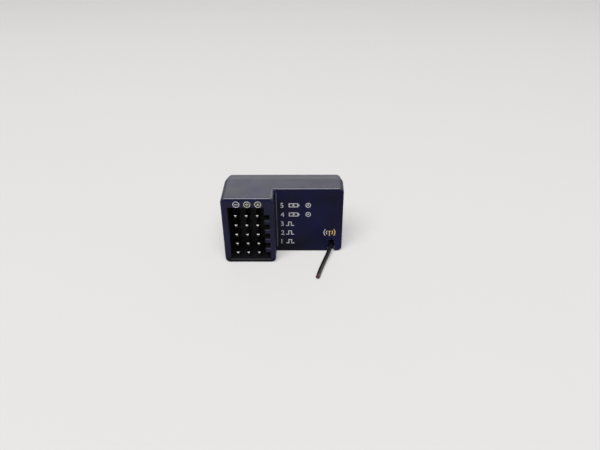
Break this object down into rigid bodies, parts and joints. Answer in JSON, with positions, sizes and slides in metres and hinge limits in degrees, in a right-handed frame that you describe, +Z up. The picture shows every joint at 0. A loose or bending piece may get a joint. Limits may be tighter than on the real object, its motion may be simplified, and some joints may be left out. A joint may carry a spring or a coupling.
{
  "type": "rc receiver",
  "caption": "Small stepped plastic radio control receiver with a well of square header pins, keyed notches and a short antenna wire.",
  "frame": {"origin": "middle of the housing's footprint, on the long side that it stands on", "axes": "+X along the length towards the antenna end, +Y from the pins towards the rear cover, +Z up"},
  "size_m": [0.0286, 0.0195, 0.0176],
  "materials": {
    "housing_plastic": "glossy dark navy, lightly textured by the mould",
    "cover_plastic": "dark navy, a shade lighter and duller",
    "header_plastic": "matt black insulator",
    "pin_metal": "bright tin plate",
    "board": "green solder resist",
    "solder": "bright solder",
    "chip_plastic": "matt black mould",
    "crystal_can": "satin metal can",
    "tantalum": "ochre mould",
    "ceramic": "fired ceramic",
    "resistor": "black film on white ceramic",
    "wire_jacket": "black plastic sleeve, satin",
    "copper": "red-brown copper strands"
  },
  "bodies": {
    "root": {"front_shell": "housing_plastic", "rear_cover": "cover_plastic", "header_block": "header_plastic", "circuit_board": "board", "header_solder": "solder", "antenna_solder": "solder", "controller_chip": "chip_plastic", "radio_chip": "chip_plastic", "voltage_regulator": "chip_plastic", "crystal": "crystal_can", "supply_capacitor": "tantalum", "chip_capacitors": "ceramic", "chip_resistors": "resistor", "antenna_jacket": "wire_jacket", "antenna_core": "copper", "pin_r1_c1": "pin_metal", "pin_r1_c2": "pin_metal", "pin_r1_c3": "pin_metal", "pin_r2_c1": "pin_metal", "pin_r2_c2": "pin_metal", "pin_r2_c3": "pin_metal", "pin_r3_c1": "pin_metal", "pin_r3_c2": "pin_metal", "pin_r3_c3": "pin_metal", "pin_r4_c1": "pin_metal", "pin_r4_c2": "pin_metal", "pin_r4_c3": "pin_metal", "pin_r5_c1": "pin_metal", "pin_r5_c2": "pin_metal", "pin_r5_c3": "pin_metal"}
  },
  "joints": []
}
